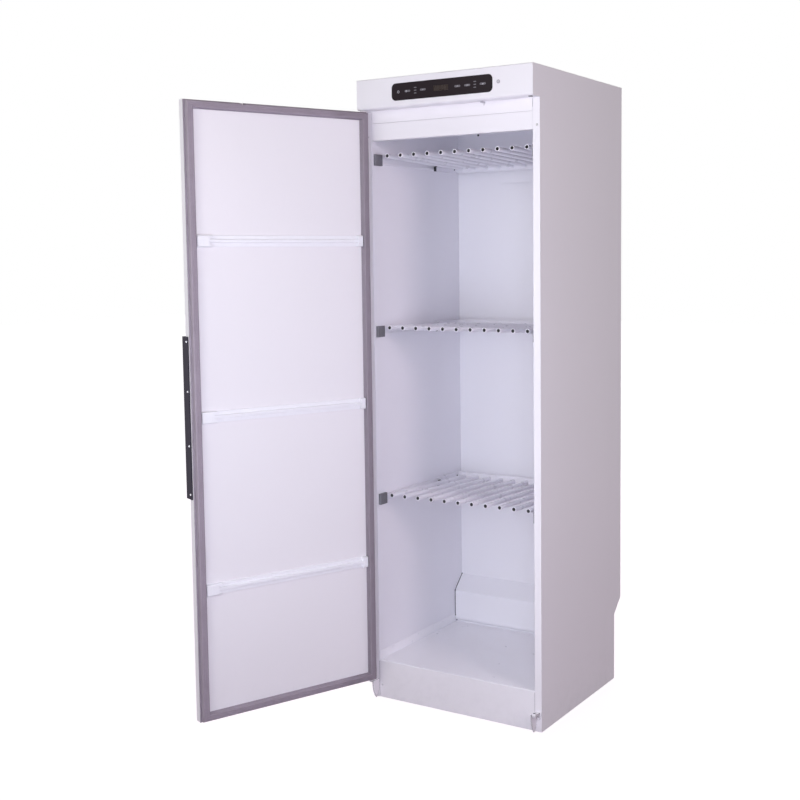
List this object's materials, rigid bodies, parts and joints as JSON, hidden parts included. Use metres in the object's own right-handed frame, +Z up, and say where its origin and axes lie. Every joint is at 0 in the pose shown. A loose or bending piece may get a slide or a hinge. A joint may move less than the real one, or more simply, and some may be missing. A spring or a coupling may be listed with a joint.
{
  "type": "drying cabinet",
  "caption": "Tall free-standing drying cabinet with an open hinged door, pull-out tube racks for hangers, glove bars on the door and a fan heater in its head.",
  "frame": {"origin": "on the floor, under the centre of the carcass footprint", "axes": "+Z up along the height, -Y out of the front, +X to the right seen from the front"},
  "size_m": [0.8425, 1.1432, 1.955],
  "materials": {
    "enamel": "smooth baked enamel",
    "enamel_inner": "smooth baked enamel",
    "white_plastic": "moulded, lightly glossy",
    "zinc_sheet": "zinc-coated sheet",
    "screw_steel": "plated",
    "grey_plastic": "moulded, fine grain",
    "dark_plastic": "moulded",
    "panel_black": "glossy film",
    "display_brown": "tinted window",
    "key_print": "printed key field",
    "board_green": "solder mask",
    "gasket_rubber": "ribbed flexible seal",
    "foot_rubber": "matt rubber",
    "insulation": "felted board",
    "handle_dark": "dark anodised",
    "motor_grey": "painted casting",
    "heater_steel": "heat-tinted"
  },
  "bodies": {
    "cabinet": {"side_panel_left": "enamel", "side_panel_right": "enamel", "rear_panel": "enamel", "top_panel": "enamel", "base_frame": "zinc_sheet", "levelling_feet": "foot_rubber", "kick_plate": "enamel", "floor_tray": "enamel_inner", "tray_rivets": "enamel_inner", "liner_left": "enamel_inner", "liner_right": "enamel_inner", "liner_back": "enamel_inner", "ceiling_panel": "enamel_inner", "insulation_sides": "insulation", "insulation_back": "insulation", "header_lower": "enamel", "header_upper": "enamel", "fascia": "enamel", "control_panel": "panel_black", "display_window": "display_brown", "key_marks": "key_print", "control_board": "board_green", "button_switch": "grey_plastic", "door_switch": "dark_plastic", "hinge_bracket_lower": "enamel", "hinge_plate_upper": "enamel", "spare_bracket": "enamel", "spare_cap": "white_plastic", "wall_rails": "enamel", "rail_clips": "grey_plastic", "fan_housing": "zinc_sheet", "fan_motor": "motor_grey", "heater_duct": "zinc_sheet", "heating_element": "heater_steel", "duct_cover": "enamel_inner", "exhaust_spigot": "enamel", "humidity_sensor": "dark_plastic", "cable_gland": "dark_plastic", "cabinet_screws": "screw_steel"},
    "door": {"door_skin": "enamel", "door_inner_panel": "enamel", "door_core": "insulation", "door_gasket": "gasket_rubber", "hinge_bushes": "grey_plastic", "door_handle": "handle_dark", "handle_screws": "screw_steel", "glove_bars": "white_plastic", "glove_bar_caps": "white_plastic"},
    "rack_top": {"rack_top_tubes": "enamel", "rack_top_frame": "enamel", "rack_screws_top": "dark_plastic"},
    "rack_middle": {"rack_middle_tubes": "enamel", "rack_middle_frame": "enamel", "rack_screws_middle": "dark_plastic"},
    "rack_bottom": {"rack_bottom_tubes": "enamel", "rack_bottom_frame": "enamel", "rack_screws_bottom": "dark_plastic"},
    "fan_rotor": {"fan_wheel": "zinc_sheet"},
    "door_switch_peg": {"switch_plunger": "grey_plastic"},
    "push_button": {"round_button": "white_plastic"}
  },
  "joints": [
    {"name": "door_hinge", "type": "hinge", "parent": "cabinet", "child": "door", "pos_m": [-0.2875, -0.313, 0.9], "axis": [0, 0, -1], "range_deg": [-112.6, 12]},
    {"name": "rack_top_slide", "type": "slide", "parent": "cabinet", "child": "rack_top", "axis": [0, -1, 0], "range_m": [0, 0.295]},
    {"name": "rack_middle_slide", "type": "slide", "parent": "cabinet", "child": "rack_middle", "axis": [0, -1, 0], "range_m": [0, 0.295]},
    {"name": "rack_bottom_slide", "type": "slide", "parent": "cabinet", "child": "rack_bottom", "axis": [0, -1, 0], "range_m": [0, 0.295]},
    {"name": "fan_spin", "type": "hinge", "parent": "cabinet", "child": "fan_rotor", "pos_m": [0, -0.051, 1.84], "axis": [0, 0, 1], "continuous": true},
    {"name": "switch_peg_travel", "type": "slide", "parent": "cabinet", "child": "door_switch_peg", "axis": [0, 1, 0], "range_m": [0, 0.004], "stiffness_N_per_m": 200},
    {"name": "button_press", "type": "slide", "parent": "cabinet", "child": "push_button", "axis": [0, 1, 0], "range_m": [0, 0.0015], "stiffness_N_per_m": 800}
  ]
}
